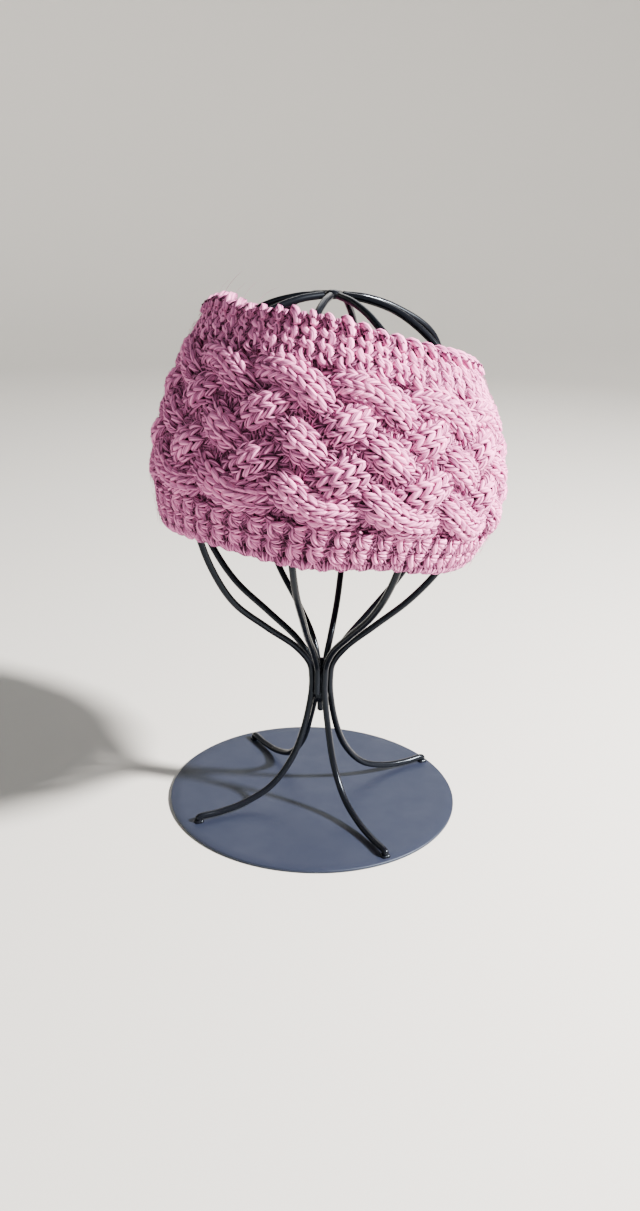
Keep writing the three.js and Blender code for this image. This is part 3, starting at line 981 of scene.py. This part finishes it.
def ribPoints(waistBearing, ribBearing, flare, shoulder):
    points = []
    for radius, z in ribProfile:
        out = flare * math.exp(-(((z - bow["flareZ"]) / bow["flareWidth"]) ** 2))
        over = shoulder * math.exp(-(((z - bow["shoulderZ"]) / bow["shoulderWidth"]) ** 2))
        part = min(1, max(0, (z - spread["fromZ"]) / (spread["toZ"] - spread["fromZ"])))
        part = part * part * (3 - 2 * part)
        points.append(standPoint(radius + out + over, z, waistBearing + (ribBearing - waistBearing) * part))
    return points


def makeWires():
    for name, legBearing, *ribRow in longWires:
        leg = [standPoint(radius, z, legBearing) for radius, z in legProfile]
        tip = leg[0] - Vector((0, 0, wire["tipDrop"]))
        points = smoothPath([tip, *leg, *ribPoints(*ribRow)])
        piece = grow(f"{name}_round", pathObject(name, points), wireTree)
        finishPiece(piece, "wire_paint", name)
    for name, *ribRow in shortRibs:
        piece = grow(f"{name}_round", pathObject(name, smoothPath(ribPoints(*ribRow))), wireTree)
        finishPiece(piece, "wire_paint", name)


# The plate, the pin and the welds are turned: each outline is radius and height from bottom to top.

turned = {
    "plate": [(0, 0), (0.0757, 0), (0.0760, 0.0001), (0.0762, 0.0004), (0.0762, 0.0011), (0.0760, 0.0014),
              (0.0757, 0.0015), (0.0700, 0.0015), (0, 0.0015)],
    "pin": [(0, 0.0500), (0.0010, 0.0502), (0.0016, 0.0508), (0.0017, 0.0516), (0.0017, 0.0800),
            (0, 0.0805)],
    "waist": [(0.0018, 0.0560), (0.0032, 0.0565), (0.0042, 0.0590), (0.0037, 0.0630), (0.0042, 0.0665),
              (0.0044, 0.0700), (0.0037, 0.0740), (0.0018, 0.0750), (0.0018, 0.0560)],
    "top": [(0, 0.2610), (0.0026, 0.2613), (0.0036, 0.2622), (0.0038, 0.2636), (0.0030, 0.2648),
            (0.0014, 0.2654), (0, 0.2655)],
    "foot": [(0, 0.0014), (0.0027, 0.0014), (0.0025, 0.0020), (0.0019, 0.0026), (0.0010, 0.0030),
             (0, 0.0030)],
}
# Name, outline, X of the axis, segments, roughness in metres, paint, slot and the solid it stands for
turnedRows = [
    ("plate_round", "plate", 0, 256, 0, platePaint, "plate_paint", "base_plate"),
    ("pin_round", "pin", wire["axisX"], 24, 0, wirePaint, "wire_paint", "centre_pin"),
    ("waist_bead", "waist", wire["axisX"], 40, 0.00022, wirePaint, "wire_paint", "waist_weld"),
    ("top_bead", "top", wire["axisX"], 40, 0.00025, wirePaint, "wire_paint", "top_weld"),
]
footBead = {"segments": 24, "rough": 0.0002}
# Waves round a rough weld: how many, how fast they wind upwards, where they start and their height
weldWaves = [(3, 900, 0.0, 1.0), (5, -1700, 1.0, 0.6)]


# Turns an outline into a closed mesh. A rough weld is pushed in and out by its waves.
def turnedPiece(name, outline, centre, segments, rough, material):
    angles = [2 * math.pi * step / segments for step in range(segments)]
    points = []
    faces = []
    rings = []
    for radius, z in outline:
        if rings and (radius, z) == outline[0]:
            rings.append(rings[0])
            continue
        if radius == 0:
            rings.append([len(points)])
            points.append((centre[0], centre[1], z))
            continue
        rings.append(list(range(len(points), len(points) + segments)))
        for angle in angles:
            wave = sum(height * math.sin(count * angle + winding * z + start)
                       for count, winding, start, height in weldWaves)
            reach = radius + rough * wave
            points.append((centre[0] + reach * math.cos(angle), centre[1] + reach * math.sin(angle), z))
    for lower, upper in zip(rings, rings[1:]):
        for step in range(segments):
            after = (step + 1) % segments
            corners = [lower[step % len(lower)], lower[after % len(lower)], upper[after % len(upper)],
                       upper[step % len(upper)]]
            faces.append(list(dict.fromkeys(corners)))
    mesh = bpy.data.meshes.new(name)
    mesh.from_pydata(points, [], faces)
    mesh.shade_smooth()
    mesh.materials.append(material)
    piece = bpy.data.objects.new(name, mesh)
    bpy.context.scene.collection.objects.link(piece)
    return piece


def makeTurned():
    for name, outline, axisX, segments, rough, material, slot, node in turnedRows:
        piece = turnedPiece(name, turned[outline], (axisX, 0), segments, rough, material)
        finishPiece(piece, slot, node)
    beads = []
    for row in longWires:
        foot = standPoint(*legProfile[0], row[1])
        beads.append(turnedPiece("bead", turned["foot"], (foot.x, foot.y), footBead["segments"],
                                 footBead["rough"], wirePaint))
    finishPiece(merged("foot_welds", beads), "wire_paint")


# Floor and light

studio = {
    "floor": (0.56, 0.55, 0.53, 1),
    "floorRoughness": 0.85,
    "floorSegments": 96,
    "outline": [(0, 0), (1.4, 0), (1.62, 0.03), (1.82, 0.12), (1.98, 0.28), (2.08, 0.5), (2.12, 0.8),
                (2.12, 1.7)],
    "air": (0.74, 0.94, 1.0, 1),
    "airStrength": 0.125,
    "key": {"place": (0.98, -0.22, 0.84), "size": 0.13, "power": 130.0, "colour": (1.0, 0.95, 0.89)},
    "fill": {"place": (-0.6, -1.0, 0.7), "size": 0.9, "power": 1.5, "colour": (0.78, 0.95, 1.0)},
    "rim": {"place": (0.1, 0.9, 0.8), "size": 0.7, "power": 3.0, "colour": (1.0, 1.0, 1.0)},
    "aim": (0.0, 0.0, 0.17),
}


# The floor is a wide dish, flat in the middle, whose rim curves up out of sight.
def makeStage():
    material, _, shader = newMaterial("paleFloor")
    shader.inputs["Base Color"].default_value = studio["floor"]
    shader.inputs["Roughness"].default_value = studio["floorRoughness"]
    floor = turnedPiece("floor", studio["outline"], (0, 0), studio["floorSegments"], 0, material)
    world = bpy.data.worlds.new("air")
    world.use_nodes = True
    background = world.node_tree.nodes["Background"]
    background.inputs["Color"].default_value = studio["air"]
    background.inputs["Strength"].default_value = studio["airStrength"]
    bpy.context.scene.world = world
    for name in ("key", "fill", "rim"):
        lamp = bpy.data.lights.new(name, "AREA")
        lamp.shape = "DISK"
        lamp.size = studio[name]["size"]
        lamp.energy = studio[name]["power"]
        lamp.color = studio[name]["colour"]
        light = bpy.data.objects.new(name, lamp)
        bpy.context.scene.collection.objects.link(light)
        light.location = studio[name]["place"]
        aim = Vector(studio["aim"]) - light.location
        light.rotation_euler = aim.to_track_quat("-Z", "Y").to_euler()


makeCamera()
makeStage()
print("camera, floor and light are ready")
makeTurned()
makeWires()
print("stand is ready")
makeCore()
makeStrands()
makeBorders()
makeInside()
makeFuzz()
print("band is ready")
